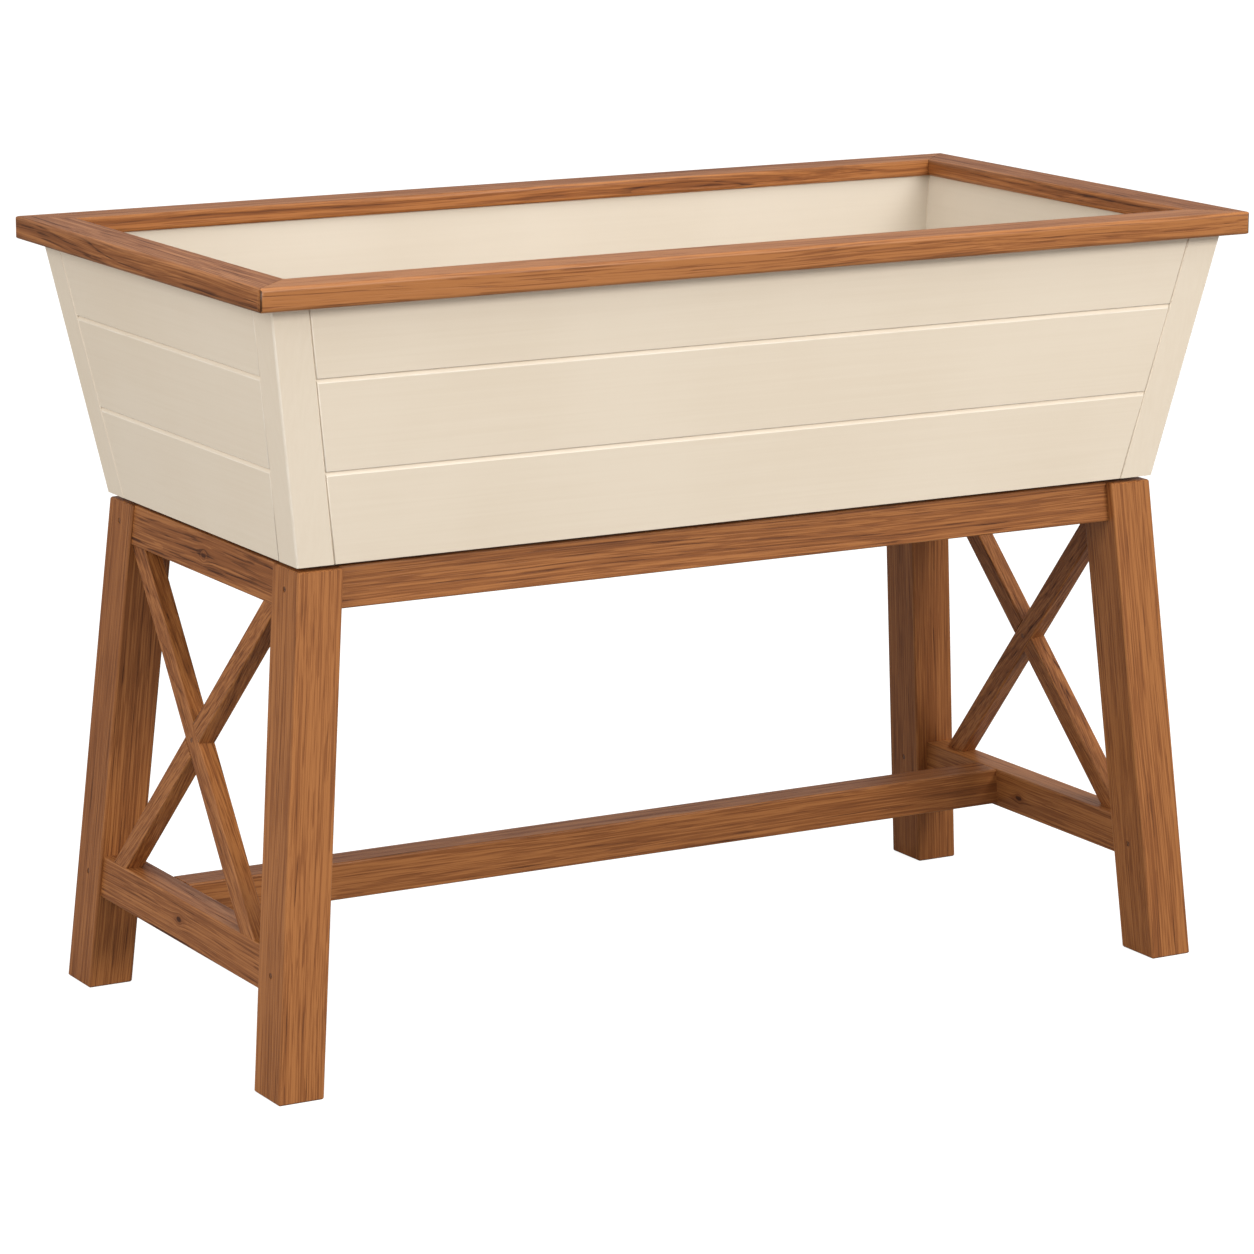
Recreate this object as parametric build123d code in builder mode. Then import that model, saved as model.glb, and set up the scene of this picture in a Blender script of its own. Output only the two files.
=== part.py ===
# Raised planter on legs: a tapered, board-faced trough under a mitred teak rim,
# standing on a splayed teak stand with X-braced ends and one long stretcher.
#
# Frame: +X along the length, +Y to the back, +Z up, origin on the floor under the
# middle of the planter.  All sizes are in millimetres.
from build123d import *
from math import atan2, cos, hypot, sin
import os

# ---------------------------------------------------------------- driving sizes
length = 1200.0  # over the rim
width = 616.0
height = 850.0

rim_width = 54.0
rim_thickness = 25.0
rim_rebate = 6.0  # the rim sits down over the walls by this much
rim_overhang = 23.0  # rim edge beyond the outside of the walls
rim_rounding = 4.5
rim_corner = 5.0  # rounding of the four outer corners, in plan

wall_height = 274.0  # from the foot of the walls to the underside of the rim
wall_spread = 49.0  # each wall leans out by this much over its height
board_thickness = 16.0
board_share = 0.36  # of the visible slope, for the lower and for the middle board
stile_width = 42.0
lining_thickness = 10.0

shadow_gap = 5.0  # between the stand and the walls
leg_x = 52.0
leg_y = 60.0
leg_inset = 1.5  # top of the leg, inside the foot of the wall
splay_x = 47.0  # how far the feet stand out past the tops of the legs
splay_y = 37.0
leg_rounding = 2.5
leg_end_chamfer = 0.6 * leg_rounding

rail_height = 44.0  # aprons and end rails
apron_thickness = 32.0
apron_recess = 11.0
end_rail_thickness = 34.0
end_rail_recess = 3.0

stretcher_height = 46.0
stretcher_thickness = 34.0
stretcher_recess = 4.0
stretcher_top_share = 0.276  # of the height of the stand
long_stretcher_height = 42.0
long_stretcher_thickness = 40.0
long_stretcher_setback = 72.0  # behind the middle, for toe room in front

brace_width = 25.0
brace_thickness = 20.0
brace_recess = 5.0
brace_head_gap = 11.5  # centre line to leg, at the end rail
brace_foot_gap = 41.0  # centre line to leg, at the end stretcher

bearer_width = 60.0
bearer_height = 22.0
bearer_pitch = 0.325 * length
bearer_housing = 5.0  # depth of the bearer's housing in the lining
slat_count = 4
slat_thickness = 16.0
slat_gap = 8.0
slat_side_gap = 3.0

# ---------------------------------------------------------------- joinery sizes
member_rounding = 2.0
tenon_thickness = 12.0
tenon_shoulder = 7.0  # above and below every tenon
tenon_wall = 7.0  # wood left in a leg between two tenons
end_tenon = 0.66 * leg_y  # end rails and end stretchers
long_tenon = 18.0
long_tenon_width = 20.0
fit = 0.2  # clearance beside a tenon, tongue, dowel or screw
end_clearance = 1.0  # at the bottom of a mortise or blind hole
tongue_thickness = 5.0
tongue_height = 7.0
joint_chamfer = 4.0  # on the top arris of a board, up the slope
joint_chamfer_depth = 3.0
arris = 1.0
board_gap = 0.4

peg_diameter = 6.0
peg_recess = 0.5
peg_past_tenon = 3.0
brace_pin_diameter = 5.0
brace_dowel_diameter = 6.0
brace_dowel_in_brace = 16.0
brace_dowel_in_rail = 7.0
rim_dowel_diameter = 6.0
rim_dowel_in_wall = 14.0
rim_dowel_in_rim = 12.0
rim_dowel_pitch_x = 0.3 * length
rim_dowel_pitch_y = 0.39 * width
biscuit_length = 36.0
biscuit_width = 24.0
biscuit_thickness = 4.0

screw_shank = 4.5
screw_head = 9.0
screw_head_height = 2.4
screw_socket = 3.0
screw_socket_depth = 1.6
bearer_screw_length = 45.0
bearer_screw_edge = 11.0  # from the inner face of the apron
floor_screw_length = 32.0
stretcher_screw_length = 34.0

# ---------------------------------------------------------------- derived sizes
rim_bottom = height - rim_thickness
wall_bottom = rim_bottom - wall_height
stand_height = wall_bottom - shadow_gap
wall_top = rim_bottom + rim_rebate
wall_lean = wall_spread / wall_height
slope = atan2(wall_spread, wall_height)
board_face = board_share * hypot(wall_spread, wall_height)
box_foot = {"x": length / 2 - rim_overhang - wall_spread, "y": width / 2 - rim_overhang - wall_spread}
leg_top = {"x": box_foot["x"] - leg_inset, "y": box_foot["y"] - leg_inset}
leg_lean = {"x": splay_x / stand_height, "y": splay_y / stand_height}
leg_size = {"x": leg_x, "y": leg_y}
rail_bottom = stand_height - rail_height
stretcher_top = stretcher_top_share * stand_height
stretcher_bottom = stretcher_top - stretcher_height
end_tenon_back = end_rail_recess + (end_rail_thickness + tenon_thickness) / 2  # from the leg's outer face
apron_tenon = leg_x - end_tenon_back - tenon_wall
rail_peg_length = end_tenon_back + peg_past_tenon - peg_recess
board_depth = board_thickness / cos(slope)  # measured level
lining_depth = lining_thickness / cos(slope)
wall_depth = board_depth + lining_depth
floor_bottom = stand_height + bearer_height
floor_top = floor_bottom + slat_thickness
far = length  # half-length of a bar before it is cut to length

outward = {
    "front": Vector(0, -1, 0),
    "back": Vector(0, 1, 0),
    "left": Vector(-1, 0, 0),
    "right": Vector(1, 0, 0),
}
axis_of = {"front": "y", "back": "y", "left": "x", "right": "x"}
long_sides = ("front", "back")
end_sides = ("left", "right")
ends_of = {"front": end_sides, "back": end_sides, "left": long_sides, "right": long_sides}
up = Vector(0, 0, 1)


def save(piece, name):
    """Label a finished piece and write it as its own node."""
    piece.part.label = name
    export_step(piece.part, f"parts/{name}.step")


def wall_reach(side, z):
    """Distance from the middle to the outside of a wall at height z."""
    return box_foot[axis_of[side]] + wall_lean * (z - wall_bottom)


def leg_reach(side, z):
    """Distance from the middle to the outer face of the legs at height z."""
    axis = axis_of[side]
    return leg_top[axis] + leg_lean[axis] * (stand_height - z)


def section_plane(side):
    """Upright plane across a member of this side: sketch x runs outward, y runs up."""
    return Plane(origin=(0, 0, 0), x_dir=outward[side], z_dir=outward[side].cross(up))


def face_plane(side, reach, lean=0.0):
    """Sloping plane whose normal points outward; reach is its distance out at floor level."""
    return Plane(origin=outward[side] * reach, z_dir=outward[side] - up * lean)


def leg_plane(side, depth):
    """Plane parallel to the outer face of the legs, depth mm inside it."""
    return face_plane(side, leg_reach(side, 0) - depth, -leg_lean[axis_of[side]])


def wall_plane(side, depth):
    """Plane parallel to the outside of a wall, depth mm inside it, measured level."""
    return face_plane(side, wall_reach(side, 0) - depth, wall_lean)


def level_plane(z):
    """Level plane at height z, facing up."""
    return Plane.XY.offset(z)


def mitre_plane(side, end, gap=0.0):
    """Upright plane at 45 degrees through a corner; its normal points out of this side's piece."""
    corner = outward[end] * (length / 2) + outward[side] * (width / 2)
    if side in end_sides:
        corner = outward[side] * (length / 2) + outward[end] * (width / 2)
    normal = (outward[end] - outward[side]).normalized()
    return Plane(origin=corner - normal * gap, z_dir=normal)


def leaning_bar(side, reach_at, depth, thickness, bottom, top, rounding=0.0):
    """Level bar along one side, its faces parallel to the legs or walls that reach_at describes."""
    with BuildPart() as bar:
        with BuildSketch(section_plane(side)) as section:
            with BuildLine():
                Polyline(
                    (reach_at(side, bottom) - depth, bottom),
                    (reach_at(side, top) - depth, top),
                    (reach_at(side, top) - depth - thickness, top),
                    (reach_at(side, bottom) - depth - thickness, bottom),
                    close=True,
                )
            make_face()
            if rounding:
                fillet(section.vertices(), rounding)
        extrude(amount=far, both=True)
    return bar.part


def place(point, direction):
    """Where a peg, dowel or screw sits: its outer end and the way it points out of the wood."""
    return Plane(origin=point, z_dir=direction)


def at(side, reach, along, z):
    """Point at a distance out on one side and at a place along it (along is X or Y itself)."""
    base = Vector(along, 0, z) if side in long_sides else Vector(0, along, z)
    return base + outward[side] * reach


# ---------------------------------------------------------------- fastener places
# Pegs run along X through the leg and the tenon of the end rail or end stretcher.
rail_middle = rail_bottom + rail_height / 2
stretcher_middle = stretcher_bottom + stretcher_height / 2
rail_peg_places = []
stretcher_peg_places = []
for end in end_sides:
    for side in long_sides:
        for middle, pegs in ((rail_middle, rail_peg_places), (stretcher_middle, stretcher_peg_places)):
            across = outward[side].Y * (leg_reach(side, middle) - leg_y / 2)
            pegs.append(place(at(end, leg_reach(end, middle) - peg_recess, across, middle), outward[end]))
stretcher_peg_length = leg_x - 2 * peg_recess

# The two braces of an end cross at the middle and are pinned there.
brace_head_y = leg_reach("back", rail_bottom) - leg_y - brace_head_gap
brace_foot_y = leg_reach("back", stretcher_top) - leg_y - brace_foot_gap
brace_depth = brace_recess + brace_thickness / 2
brace_rise = rail_bottom - stretcher_top
crossing_z = stretcher_top + brace_rise * brace_foot_y / (brace_foot_y + brace_head_y)


def brace_point(end, y, z):
    """Point in the middle plane of the braces of one end."""
    return at(end, leg_reach(end, z) - brace_depth, y, z)


def brace_normal(end):
    """Direction square to the plane of the braces, pointing outward."""
    return leg_plane(end, 0).z_dir


brace_runs = {}
for end in end_sides:
    brace_runs[end, "outer"] = (
        brace_point(end, brace_head_y, rail_bottom),
        brace_point(end, -brace_foot_y, stretcher_top),
    )
    brace_runs[end, "inner"] = (
        brace_point(end, -brace_head_y, rail_bottom),
        brace_point(end, brace_foot_y, stretcher_top),
    )
brace_pin_places = [
    place(brace_point(end, 0, crossing_z) + brace_normal(end) * (brace_thickness / 2), brace_normal(end))
    for end in end_sides
]
brace_dowel_places = []
for head, foot in brace_runs.values():
    run = (head - foot).normalized()
    brace_dowel_places.append(place(head + run * brace_dowel_in_rail, run))
    brace_dowel_places.append(place(foot - run * brace_dowel_in_rail, -run))
brace_dowel_length = brace_dowel_in_rail + brace_dowel_in_brace

# Screws up through the end stretchers into the tenons of the long stretcher.
end_stretcher_inside = leg_reach("right", stretcher_middle) - stretcher_recess - stretcher_thickness
long_tenon_middle = end_stretcher_inside + long_tenon / 2
stretcher_screw_places = [
    place((outward[end].X * long_tenon_middle, long_stretcher_setback, stretcher_bottom), -up)
    for end in end_sides
]

# Screws down through the bearers into the aprons, and through the slats into the bearers.
bearer_x = [step * bearer_pitch for step in (-1, 0, 1)]
bearer_screw_y = leg_reach("back", stand_height) - apron_recess - apron_thickness + bearer_screw_edge
bearer_screw_places = [
    place((x, y, floor_bottom), up)
    for x in bearer_x
    for y in (-bearer_screw_y, bearer_screw_y)
]
floor_half_x = wall_reach("right", floor_bottom) - wall_depth - slat_side_gap
floor_half_y = wall_reach("back", floor_bottom) - wall_depth - slat_side_gap
slat_width = (2 * floor_half_y - (slat_count - 1) * slat_gap) / slat_count
slat_y = [(index - (slat_count - 1) / 2) * (slat_width + slat_gap) for index in range(slat_count)]
floor_screw_places = [place((x, y, floor_top), up) for x in bearer_x for y in slat_y]

# Dowels stand in the tops of the walls and in the rim above them.
rim_dowel_places = []
for side in ("front", "back", "left", "right"):
    steps = (-rim_dowel_pitch_x, 0, rim_dowel_pitch_x)
    if side in end_sides:
        steps = (-rim_dowel_pitch_y / 2, rim_dowel_pitch_y / 2)
    for step in steps:
        middle_of_wall = wall_reach(side, wall_top) - board_depth / 2
        dowel_head = at(side, middle_of_wall, step, wall_top + rim_dowel_in_rim)
        rim_dowel_places.append(place(dowel_head, up))
rim_dowel_length = rim_dowel_in_wall + rim_dowel_in_rim

# Loose tongues across the mitres of the rim.
biscuit_z = wall_top + (height - wall_top) / 2
biscuit_places = []
for end in end_sides:
    for side in long_sides:
        corner = outward[end] * (length / 2 - rim_width / 2) + outward[side] * (width / 2 - rim_width / 2)
        across_mitre = (outward[end] - outward[side]).normalized()
        biscuit_places.append(Plane(origin=corner + up * biscuit_z, x_dir=across_mitre, z_dir=up))


def pegs_at(places, diameter, peg_length):
    """Round pegs or dowels that start at each place and run into the wood."""
    with BuildPart() as pegs:
        with Locations(*places):
            Cylinder(diameter / 2, peg_length, align=(Align.CENTER, Align.CENTER, Align.MAX))
    return pegs.part


def screws_at(places, screw_length):
    """Countersunk wood screws whose heads are flush at each place, with a socket in the head."""
    seat = (Align.CENTER, Align.CENTER, Align.MAX)
    with BuildPart() as screws:
        with Locations(*places):
            Cylinder(screw_shank / 2, screw_length, align=seat)
            Cone(screw_shank / 2, screw_head / 2, screw_head_height, align=seat)
            Cylinder(screw_socket / 2, screw_socket_depth, align=seat, mode=Mode.SUBTRACT)
    return screws.part


def peg_holes(places, diameter, peg_length):
    """The matching holes, a little wider and deeper than the pegs."""
    return pegs_at(
        [place(spot.origin + spot.z_dir * end_clearance, spot.z_dir) for spot in places],
        diameter + 2 * fit,
        peg_length + 2 * end_clearance,
    )


def screw_holes(places, screw_length):
    """Clearance for a screw and its countersunk head."""
    seat = (Align.CENTER, Align.CENTER, Align.MAX)
    with BuildPart() as holes:
        with Locations(*places):
            Cylinder(screw_shank / 2 + fit, screw_length + end_clearance, align=seat)
            Cone(screw_shank / 2 + fit, screw_head / 2 + fit, screw_head_height + fit, align=seat)
    return holes.part


rail_peg_holes = peg_holes(rail_peg_places, peg_diameter, rail_peg_length)
stretcher_peg_holes = peg_holes(stretcher_peg_places, peg_diameter, stretcher_peg_length)
brace_pin_holes = peg_holes(brace_pin_places, brace_pin_diameter, brace_thickness)
brace_dowel_holes = peg_holes(brace_dowel_places, brace_dowel_diameter, brace_dowel_length)
rim_dowel_holes = peg_holes(rim_dowel_places, rim_dowel_diameter, rim_dowel_length)
stretcher_screw_holes = screw_holes(stretcher_screw_places, stretcher_screw_length)
bearer_screw_holes = screw_holes(bearer_screw_places, bearer_screw_length)
floor_screw_holes = screw_holes(floor_screw_places, floor_screw_length)

os.makedirs("parts", exist_ok=True)

# ---------------------------------------------------------------- rails and stretchers
# Every rail is a core bar cut to its shoulders on the leaning faces of the legs, plus a
# thinner, lower tenon that runs on into the legs.


def between_legs(side, bar, reach_in=0.0):
    """A bar of this side cut off where it has run reach_in mm into the legs."""
    with BuildPart() as member:
        add(bar)
        for end in ends_of[side]:
            split(bisect_by=leg_plane(end, leg_size[axis_of[end]] - reach_in), keep=Keep.BOTTOM)
    return member.part


def tenon_of(side, depth, thickness, bottom, top, reach_in, grow=0.0):
    """Tenons at both ends of a rail, centred in its thickness; grow turns them into mortises."""
    bar = leaning_bar(
        side,
        leg_reach,
        depth + (thickness - tenon_thickness) / 2 - grow,
        tenon_thickness + 2 * grow,
        bottom + tenon_shoulder - grow,
        top - tenon_shoulder + grow,
    )
    return between_legs(side, bar, reach_in)


rails = {
    "apron": (apron_recess, apron_thickness, rail_bottom, stand_height),
    "end_rail": (end_rail_recess, end_rail_thickness, rail_bottom, stand_height),
    "end_stretcher": (stretcher_recess, stretcher_thickness, stretcher_bottom, stretcher_top),
}
tenon_reach = {"apron": apron_tenon, "end_rail": end_tenon, "end_stretcher": end_tenon}
sides_with = {"apron": long_sides, "end_rail": end_sides, "end_stretcher": end_sides}

# The long stretcher is tenoned through the shoulders of its ends into the end stretchers.
long_bottom = stretcher_top - long_stretcher_height
long_shoulder = stretcher_recess + stretcher_thickness


def long_bar(bar_width, bottom, top, reach_in, rounding=0.0):
    """Bar on the line of the long stretcher, cut reach_in mm inside the end stretchers."""
    with BuildPart() as bar:
        with BuildSketch(Plane.YZ) as section:
            with Locations((long_stretcher_setback, (bottom + top) / 2)):
                Rectangle(bar_width, top - bottom)
            if rounding:
                fillet(section.vertices(), rounding)
        extrude(amount=far, both=True)
        for end in end_sides:
            split(bisect_by=leg_plane(end, long_shoulder - reach_in), keep=Keep.BOTTOM)
    return bar.part


def long_tenons(grow=0.0, deeper=0.0):
    """The thinner, lower bar whose ends are the tenons of the long stretcher."""
    return long_bar(
        long_tenon_width + 2 * grow,
        long_bottom + tenon_shoulder - grow,
        stretcher_top - tenon_shoulder + grow,
        long_tenon + deeper,
    )


long_core = long_bar(long_stretcher_thickness, long_bottom, stretcher_top, 0.0, member_rounding)
long_tongue = long_tenons()
with BuildPart() as long_stretcher:
    add(long_core)
    add(long_tongue)
    add(stretcher_screw_holes, mode=Mode.SUBTRACT)
save(long_stretcher, "long_stretcher")

rail_holes = {
    "apron": [bearer_screw_holes],
    "end_rail": [rail_peg_holes, brace_dowel_holes],
    "end_stretcher": [
        stretcher_peg_holes,
        brace_dowel_holes,
        stretcher_screw_holes,
        long_tenons(fit, end_clearance),
    ],
}
mortises = []
for kind, shape in rails.items():
    for side in sides_with[kind]:
        core = between_legs(side, leaning_bar(side, leg_reach, *shape, member_rounding))
        tenons = tenon_of(side, *shape, tenon_reach[kind])
        mortises.append(tenon_of(side, *shape, tenon_reach[kind] + end_clearance, fit))
        with BuildPart() as rail:
            add(core)
            add(tenons)
            for holes in rail_holes[kind]:
                add(holes, mode=Mode.SUBTRACT)
        save(rail, f"{kind}_{side}")

# ---------------------------------------------------------------- legs
# Straight posts of constant level section that lean inward both ways, cut flat at the floor.
for end in end_sides:
    for side in long_sides:
        foot_x = outward[end].X * (leg_reach(end, 0) - leg_x / 2)
        foot_y = outward[side].Y * (leg_reach(side, 0) - leg_y / 2)
        lean = up * stand_height - outward[end] * splay_x - outward[side] * splay_y
        with BuildPart() as leg:
            with BuildSketch():
                with Locations((foot_x, foot_y)):
                    RectangleRounded(leg_x, leg_y, leg_rounding)
            extrude(amount=lean.length, dir=lean.normalized())
            level_ends = leg.faces().filter_by(Axis.Z)
            chamfer(level_ends.edges(), leg_end_chamfer)
            for mortise in mortises:
                add(mortise, mode=Mode.SUBTRACT)
            add(rail_peg_holes, mode=Mode.SUBTRACT)
            add(stretcher_peg_holes, mode=Mode.SUBTRACT)
        save(leg, f"leg_{side}_{end}")

# ---------------------------------------------------------------- braces
# Each end has two braces halved over each other: the outer one keeps its outer face whole.
opening_top = level_plane(rail_bottom)
opening_bottom = Plane(origin=(0, 0, stretcher_top), z_dir=-up)
for (end, lap), (head, foot) in brace_runs.items():
    run = (head - foot).normalized()
    other_head, other_foot = brace_runs[end, "inner" if lap == "outer" else "outer"]
    other_run = (other_head - other_foot).normalized()
    lost_half = brace_normal(end) * (-1 if lap == "outer" else 1)
    with BuildPart() as brace:
        with BuildSketch(Plane(origin=(head + foot) / 2, x_dir=brace_normal(end), z_dir=run)):
            RectangleRounded(brace_thickness, brace_width, member_rounding)
        extrude(amount=(head - foot).length, both=True)
        split(bisect_by=opening_top, keep=Keep.BOTTOM)
        split(bisect_by=opening_bottom, keep=Keep.BOTTOM)
        for side in long_sides:
            split(bisect_by=leg_plane(side, leg_y), keep=Keep.BOTTOM)
        with BuildSketch(Plane(origin=brace_point(end, 0, crossing_z), x_dir=other_run, z_dir=lost_half)):
            Rectangle(3 * brace_width, brace_width + 2 * fit)
        extrude(amount=brace_thickness, mode=Mode.SUBTRACT)
        add(brace_pin_holes, mode=Mode.SUBTRACT)
        add(brace_dowel_holes, mode=Mode.SUBTRACT)
    save(brace, f"brace_{end}_{lap}")

# ---------------------------------------------------------------- wall stiles
# A corner post of two arms, split on the mitre into one stile for each wall.
corner_slope = Vector(wall_lean, wall_lean, 1).length
for end in end_sides:
    for side in long_sides:
        along_x = -outward[end]
        along_y = -outward[side]
        corner = outward[end] * box_foot["x"] + outward[side] * box_foot["y"]
        steps = (
            (0, 0),
            (stile_width - arris, 0),
            (stile_width, arris),
            (stile_width, board_depth),
            (board_depth, board_depth),
            (board_depth, stile_width),
            (arris, stile_width),
            (0, stile_width - arris),
        )
        outline = [corner + along_x * step_x + along_y * step_y for step_x, step_y in steps]
        with BuildPart() as post:
            with BuildSketch(level_plane(wall_bottom)) as section:
                with BuildLine():
                    Polyline(*[(point.X, point.Y) for point in outline], close=True)
                make_face()
                fillet(section.vertices().sort_by_distance(corner)[0], member_rounding)
            extrude(
                amount=(wall_top - wall_bottom) * corner_slope,
                dir=(up + (outward[end] + outward[side]) * wall_lean).normalized(),
            )
        for wall, other in ((side, end), (end, side)):
            with BuildPart() as stile:
                add(post.part)
                split(bisect_by=mitre_plane(wall, other), keep=Keep.BOTTOM)
                add(rim_dowel_holes, mode=Mode.SUBTRACT)
            save(stile, f"stile_{wall}_{other}")

# ---------------------------------------------------------------- wall boards
# Three tongued and grooved boards fill each wall between its stiles.  Each joint shows a
# chamfer on the top arris of the lower board.
wall_slope_length = (wall_top - wall_bottom) / cos(slope)
board_starts = {"lower": 0.0, "middle": board_face, "upper": 2 * board_face}
board_ends = {"lower": board_face, "middle": 2 * board_face, "upper": wall_slope_length}


def on_wall(side, rise, depth):
    """Sketch point of a wall section: rise mm up its outer face and depth mm square into it."""
    return (
        wall_reach(side, wall_bottom) + rise * sin(slope) - depth * cos(slope),
        wall_bottom + rise * cos(slope) + depth * sin(slope),
    )


def board_outline(side, position):
    """Section of one board: up its outer face, over its top edge, down its inner face."""
    start = board_starts[position]
    end = board_ends[position]
    level_cut = board_thickness * sin(slope) / cos(slope)
    tongue_front = (board_thickness - tongue_thickness) / 2
    tongue_back = tongue_front + tongue_thickness
    edge = start + board_gap
    groove_end = start + tongue_height + 2 * fit
    level_foot = [(-level_cut, board_thickness), (0, 0)]
    grooved_foot = [
        (edge, board_thickness),
        (edge, tongue_back + fit),
        (groove_end, tongue_back + fit),
        (groove_end, tongue_front - fit),
        (edge, tongue_front - fit),
        (edge, arris),
        (edge + arris, 0),
    ]
    level_head = [(end, 0), (end - level_cut, board_thickness)]
    tongued_head = [
        (end - joint_chamfer, 0),
        (end, joint_chamfer_depth),
        (end, tongue_front),
        (end + tongue_height, tongue_front),
        (end + tongue_height, tongue_back),
        (end, tongue_back),
        (end, board_thickness),
    ]
    foot = level_foot if position == "lower" else grooved_foot
    head = level_head if position == "upper" else tongued_head
    return [on_wall(side, rise, depth) for rise, depth in foot + head]


for side in outward:
    facing = Axis((0, 0, 0), wall_plane(side, 0).z_dir)
    along = Axis.X if side in long_sides else Axis.Y
    for position in board_starts:
        with BuildPart() as board:
            with BuildSketch(section_plane(side)):
                with BuildLine():
                    Polyline(*board_outline(side, position), close=True)
                make_face()
            extrude(amount=far, both=True)
            for end in ends_of[side]:
                split(bisect_by=wall_plane(end, stile_width + board_gap), keep=Keep.BOTTOM)
            end_arrises = board.faces().sort_by(facing)[-1].edges().filter_by(along, reverse=True)
            chamfer(end_arrises, arris)
            add(rim_dowel_holes, mode=Mode.SUBTRACT)
        save(board, f"board_{side}_{position}")

# ---------------------------------------------------------------- bearers and lining
# Three bearers cross the stand inside the walls; their ends are housed in the lining, so
# they carry the walls and hold them clear of the stand.


def bearer_bar(x, grow=0.0):
    """One bearer with its leaning ends; grow turns it into its housings."""
    with BuildPart() as bar:
        with BuildSketch(Plane.XZ):
            with Locations((x, stand_height + bearer_height / 2)):
                Rectangle(bearer_width + 2 * grow, bearer_height + 2 * grow)
        extrude(amount=far, both=True)
        for side in long_sides:
            split(bisect_by=wall_plane(side, wall_depth - bearer_housing - grow), keep=Keep.BOTTOM)
    return bar.part


bearer_names = ("left", "middle", "right")
housings = []
for name, x in zip(bearer_names, bearer_x):
    bar = bearer_bar(x)
    housings.append(bearer_bar(x, fit))
    with BuildPart() as bearer:
        add(bar)
        add(bearer_screw_holes, mode=Mode.SUBTRACT)
        add(floor_screw_holes, mode=Mode.SUBTRACT)
    save(bearer, f"bearer_{name}")

for side in outward:
    bar = leaning_bar(side, wall_reach, board_depth, lining_depth, wall_bottom, wall_top)
    with BuildPart() as lining:
        add(bar)
        for end in ends_of[side]:
            split(bisect_by=mitre_plane(side, end), keep=Keep.BOTTOM)
        for housing in housings:
            add(housing, mode=Mode.SUBTRACT)
    save(lining, f"lining_{side}")

# ---------------------------------------------------------------- floor slats
for index, y in enumerate(slat_y, start=1):
    with BuildPart() as slat:
        with BuildSketch(level_plane(floor_bottom)):
            with Locations((0, y)):
                Rectangle(2 * floor_half_x, slat_width)
        extrude(amount=slat_thickness)
        chamfer(slat.faces().sort_by(Axis.Z)[-1].edges(), arris)
        add(floor_screw_holes, mode=Mode.SUBTRACT)
    save(slat, f"floor_slat_{index}")

# ---------------------------------------------------------------- rim
# Four mitred boards, rebated underneath so that the frame drops over the walls.
rim_reach = {"x": length / 2, "y": width / 2}
with BuildPart() as biscuits:
    for spot in biscuit_places:
        with BuildSketch(spot.offset(-biscuit_thickness / 2)):
            RectangleRounded(biscuit_length, biscuit_width, biscuit_width / 3)
        extrude(amount=biscuit_thickness)
with BuildPart() as biscuit_slots:
    for spot in biscuit_places:
        with BuildSketch(spot.offset(-biscuit_thickness / 2 - fit)):
            RectangleRounded(biscuit_length + 2 * fit, biscuit_width + 2 * fit, biscuit_width / 3)
        extrude(amount=biscuit_thickness + 2 * fit)

for side in outward:
    outer = rim_reach[axis_of[side]]
    with BuildPart() as rim:
        with BuildSketch(section_plane(side)) as section:
            with BuildLine():
                Polyline(
                    (outer, rim_bottom),
                    (outer, height),
                    (outer - rim_width, height),
                    (outer - rim_width, wall_top),
                    (wall_reach(side, wall_top) + fit, wall_top),
                    (wall_reach(side, rim_bottom) + fit, rim_bottom),
                    close=True,
                )
            make_face()
            columns = section.vertices().group_by(Axis.X)
            fillet(columns[-1] + columns[0], rim_rounding)
        extrude(amount=far, both=True)
        for end in ends_of[side]:
            split(bisect_by=mitre_plane(side, end, board_gap / 2), keep=Keep.BOTTOM)
        with BuildSketch(level_plane(rim_bottom)):
            RectangleRounded(length, width, rim_corner)
        extrude(amount=rim_thickness, mode=Mode.INTERSECT)
        add(rim_dowel_holes, mode=Mode.SUBTRACT)
        add(biscuit_slots.part, mode=Mode.SUBTRACT)
    save(rim, f"rim_{side}")
save(biscuits, "rim_biscuits")

# ---------------------------------------------------------------- pegs, dowels and screws
fasteners = {
    "rail_pegs": pegs_at(rail_peg_places, peg_diameter, rail_peg_length),
    "stretcher_pegs": pegs_at(stretcher_peg_places, peg_diameter, stretcher_peg_length),
    "brace_pins": pegs_at(brace_pin_places, brace_pin_diameter, brace_thickness),
    "brace_dowels": pegs_at(brace_dowel_places, brace_dowel_diameter, brace_dowel_length),
    "rim_dowels": pegs_at(rim_dowel_places, rim_dowel_diameter, rim_dowel_length),
    "bearer_screws": screws_at(bearer_screw_places, bearer_screw_length),
    "floor_screws": screws_at(floor_screw_places, floor_screw_length),
    "stretcher_screws": screws_at(stretcher_screw_places, stretcher_screw_length),
}
for name, solids in fasteners.items():
    with BuildPart() as group:
        add(solids)
    save(group, name)
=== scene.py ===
from math import radians

import bmesh
import bpy
from mathutils import Euler, Matrix, Vector


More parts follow.
